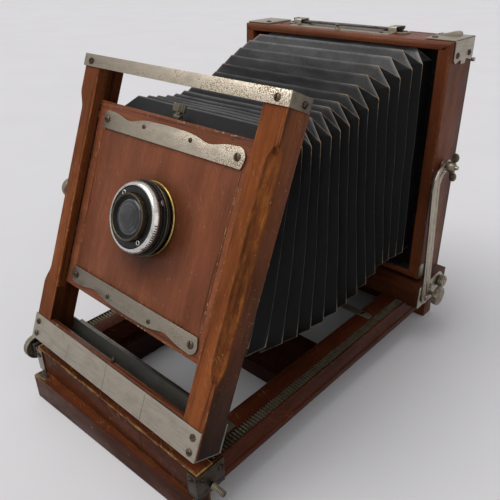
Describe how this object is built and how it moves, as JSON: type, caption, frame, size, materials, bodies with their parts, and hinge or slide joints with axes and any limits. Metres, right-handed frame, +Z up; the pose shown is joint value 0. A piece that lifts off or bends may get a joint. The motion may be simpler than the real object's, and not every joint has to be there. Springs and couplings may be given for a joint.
{
  "type": "view camera",
  "caption": "Wooden view camera on a two-level sliding bed: leaning front standard with rising lens panel, pleated black bellows, rear box frame with spring back and ground glass",
  "frame": {"origin": "middle of the bounding box in X and Y, at the underside of the lower bed frame", "axes": "+Z up; the lens looks along -Y; +Y runs from the lens back to the ground glass; +X is on the viewer's right when the viewer faces the lens"},
  "size_m": [0.2638, 0.3736, 0.3043],
  "materials": {
    "mahogany": "french-polished mahogany, reddish brown, worn on the edges",
    "mahogany_edge": "mahogany with the polish worn to golden brown on the front edges",
    "lens_board_mahogany": "polished mahogany panel, redder than the frame",
    "dark_wood": "dark stained hardwood",
    "black_wood": "hardwood painted dead black",
    "nickel_plate": "nickel-plated brass, dulled, pitted and brushed",
    "steel": "bare sheet steel, grey and dull",
    "rack_metal": "oxidised steel rack, dark grey",
    "lacquered_brass": "lacquered brass gone golden brown",
    "bronzed_brass": "brass with a dark bronze finish",
    "black_enamel": "black enamel worn at the edges",
    "silver_plate": "silvered bevel, bright",
    "lens_glass": "polished optical glass, uncoated",
    "ground_glass": "finely ground glass screen",
    "bellows_cloth": "black pleated leatherette over cloth, dull"
  },
  "bodies": {
    "base": {"lower_rail_left": "dark_wood", "lower_rail_right": "dark_wood", "lower_front_board": "mahogany_edge", "lower_rear_board": "mahogany", "tripod_block": "dark_wood"},
    "bed": {"bed_rail_left": "mahogany", "bed_rail_right": "mahogany", "rack_left": "rack_metal", "rack_right": "rack_metal", "bed_front_rail": "mahogany_edge", "bed_rear_rail": "mahogany", "corner_plate_left": "nickel_plate", "corner_plate_right": "nickel_plate", "clamp_stud": "nickel_plate", "bed_strap": "nickel_plate"},
    "front_carriage": {"carriage_plate": "steel"},
    "clamp_knob": {"clamp_knob": "nickel_plate"},
    "front_standard": {"upright_left": "mahogany", "upright_right": "mahogany", "foot_bar": "mahogany", "foot_plate": "nickel_plate", "rear_foot_plate": "steel", "top_strap": "nickel_plate"},
    "rise_knob": {"rise_knob": "nickel_plate"},
    "lens_panel": {"rising_panel": "mahogany", "lens_board": "lens_board_mahogany", "bottom_keeper": "nickel_plate", "lens_flange": "lacquered_brass", "lens_barrel": "bronzed_brass", "shutter_drum": "black_enamel", "front_cell": "bronzed_brass", "front_glass": "lens_glass", "bellows_front_frame": "black_wood"},
    "top_keeper": {"top_keeper": "nickel_plate"},
    "keeper_screw": {"keeper_screw": "nickel_plate"},
    "iris_ring": {"iris_ring": "bronzed_brass"},
    "speed_ring": {"speed_ring": "silver_plate"},
    "rear_carriage": {"rear_block": "mahogany", "end_plate_left": "nickel_plate", "end_plate_right": "nickel_plate"},
    "focus_pinion": {"focus_pinion": "nickel_plate"},
    "swing_nut_left": {"swing_nut_left": "nickel_plate"},
    "swing_nut_right": {"swing_nut_right": "nickel_plate"},
    "rear_body": {"rear_frame": "mahogany", "corner_wrap_left": "nickel_plate", "corner_wrap_right": "nickel_plate", "handle_loop_left": "nickel_plate", "handle_loop_right": "nickel_plate", "back_frame": "mahogany", "bellows": "bellows_cloth"},
    "wing_nut_left": {"wing_nut_left": "nickel_plate"},
    "wing_nut_right": {"wing_nut_right": "nickel_plate"},
    "strut_left": {"strut_left": "nickel_plate"},
    "strut_right": {"strut_right": "nickel_plate"},
    "handle_bar": {"handle_bar": "steel"},
    "glass_screen": {"glass_frame": "mahogany", "ground_glass": "ground_glass"},
    "back_spring_left": {"back_spring_left": "steel"},
    "back_spring_right": {"back_spring_right": "steel"}
  },
  "joints": [
    {"name": "bed_slide", "type": "slide", "parent": "base", "child": "bed", "axis": [0, 1, 0], "range_m": [-0.06, 0]},
    {"name": "front_slide", "type": "slide", "parent": "bed", "child": "front_carriage", "axis": [0, 1, 0], "range_m": [0, 0.035], "deforming": ["bellows"]},
    {"name": "clamp_turn", "type": "hinge", "parent": "front_carriage", "child": "clamp_knob", "pos_m": [0, -0.1738, 0.0455], "axis": [1, 0, 0], "continuous": true},
    {"name": "front_tilt", "type": "hinge", "parent": "front_carriage", "child": "front_standard", "pos_m": [0, -0.14835, 0.05439], "axis": [1, 0, 0], "range_deg": [-3, 23], "deforming": ["bellows"]},
    {"name": "rise_lock", "type": "hinge", "parent": "front_standard", "child": "rise_knob", "pos_m": [0, -0.11183, 0.18392], "axis": [1, 0, 0], "continuous": true},
    {"name": "front_rise", "type": "slide", "parent": "front_standard", "child": "lens_panel", "axis": [0, 0.3907, 0.9205], "range_m": [-0.025, 0.02], "deforming": ["bellows"]},
    {"name": "keeper_slide", "type": "slide", "parent": "lens_panel", "child": "top_keeper", "axis": [0, 0.3907, 0.9205], "range_m": [0, 0.006]},
    {"name": "keeper_turn", "type": "hinge", "parent": "lens_panel", "child": "keeper_screw", "pos_m": [0, -0.08002, 0.25732], "axis": [0, 0.3907, 0.9205], "continuous": true},
    {"name": "iris_turn", "type": "hinge", "parent": "lens_panel", "child": "iris_ring", "pos_m": [0, -0.12212, 0.19295], "axis": [0, 0.9205, -0.3907], "range_deg": [-60, 60]},
    {"name": "speed_turn", "type": "hinge", "parent": "lens_panel", "child": "speed_ring", "pos_m": [0, -0.12212, 0.19295], "axis": [0, 0.9205, -0.3907], "range_deg": [-90, 90]},
    {"name": "rear_focus", "type": "slide", "parent": "bed", "child": "rear_carriage", "axis": [0, 1, 0], "range_m": [-0.02, 0.015], "deforming": ["bellows"]},
    {"name": "pinion_turn", "type": "hinge", "parent": "rear_carriage", "child": "focus_pinion", "pos_m": [0, 0.1337, 0.05425], "axis": [1, 0, 0], "range_deg": [-235, 235]},
    {"name": "swing_lock_left", "type": "hinge", "parent": "rear_carriage", "child": "swing_nut_left", "pos_m": [0, 0.1487, 0.063], "axis": [1, 0, 0], "continuous": true},
    {"name": "swing_lock_right", "type": "hinge", "parent": "rear_carriage", "child": "swing_nut_right", "pos_m": [0, 0.1487, 0.063], "axis": [1, 0, 0], "continuous": true},
    {"name": "rear_tilt", "type": "hinge", "parent": "rear_carriage", "child": "rear_body", "pos_m": [0, 0.1377, 0.074], "axis": [1, 0, 0], "range_deg": [-6, 6], "deforming": ["bellows"]},
    {"name": "strut_swing_left", "type": "hinge", "parent": "rear_carriage", "child": "strut_left", "pos_m": [0, 0.1177, 0.058], "axis": [1, 0, 0], "range_deg": [-6, 6]},
    {"name": "strut_swing_right", "type": "hinge", "parent": "rear_carriage", "child": "strut_right", "pos_m": [0, 0.1177, 0.058], "axis": [1, 0, 0], "range_deg": [-6, 6]},
    {"name": "wing_turn_left", "type": "hinge", "parent": "rear_body", "child": "wing_nut_left", "pos_m": [0, 0.1347, 0.189], "axis": [1, 0, 0], "continuous": true},
    {"name": "wing_turn_right", "type": "hinge", "parent": "rear_body", "child": "wing_nut_right", "pos_m": [0, 0.1347, 0.189], "axis": [1, 0, 0], "continuous": true},
    {"name": "handle_lift", "type": "slide", "parent": "rear_body", "child": "handle_bar", "axis": [0, 0, 1], "range_m": [0, 0.0015]},
    {"name": "screen_open", "type": "slide", "parent": "rear_body", "child": "glass_screen", "axis": [0, 1, 0], "range_m": [0, 0.005], "stiffness_N_per_m": 900, "springref_m": -0.004},
    {"name": "spring_flex_left", "type": "hinge", "parent": "rear_body", "child": "back_spring_left", "pos_m": [-0.1015, 0.1736, 0.1855], "axis": [0, 0, 1], "range_deg": [0, 18]},
    {"name": "spring_flex_right", "type": "hinge", "parent": "rear_body", "child": "back_spring_right", "pos_m": [0.1015, 0.1736, 0.1855], "axis": [0, 0, 1], "range_deg": [-18, 0]}
  ],
  "couplings": [
    {"joint": "pinion_turn", "follows": "rear_focus", "rad_per_m": -200},
    {"joint": "strut_swing_left", "follows": "rear_tilt", "ratio": 0.86},
    {"joint": "strut_swing_right", "follows": "rear_tilt", "ratio": 0.86},
    {"joint": "spring_flex_left", "follows": "screen_open", "rad_per_m": 47.17},
    {"joint": "spring_flex_right", "follows": "screen_open", "rad_per_m": -47.17}
  ]
}
